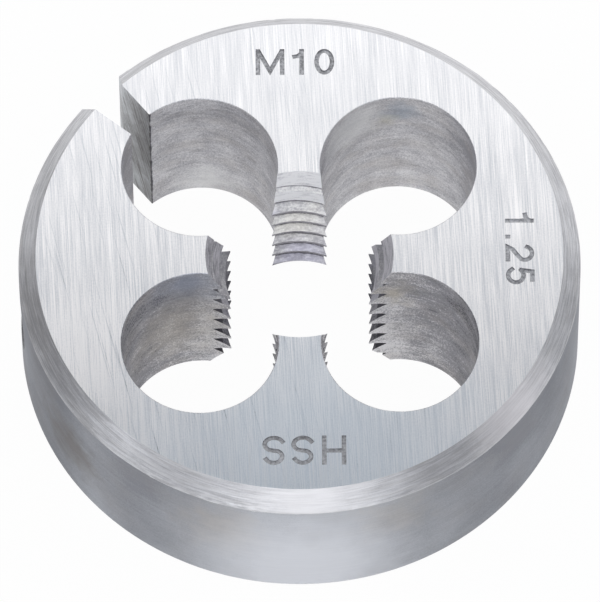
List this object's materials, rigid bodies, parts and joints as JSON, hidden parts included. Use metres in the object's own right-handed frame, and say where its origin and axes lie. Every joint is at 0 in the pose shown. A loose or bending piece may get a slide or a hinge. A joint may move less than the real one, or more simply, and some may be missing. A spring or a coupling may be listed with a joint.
{
  "type": "round threading die",
  "caption": "Round split threading die: a thick chamfered steel disc with a threaded bore, round chip flutes, a tapered adjusting slot and screw seats in its rim.",
  "frame": {"origin": "centre of the plain face that the die rests on", "axes": "+Z along the bore from the plain face to the marked face, +X and +Y each through the middle of a cutting land"},
  "size_m": [0.0334, 0.0334, 0.0111],
  "materials": {
    "die_steel": "surface-ground high-speed steel"
  },
  "bodies": {
    "root": {"die_body": "die_steel"}
  },
  "joints": []
}
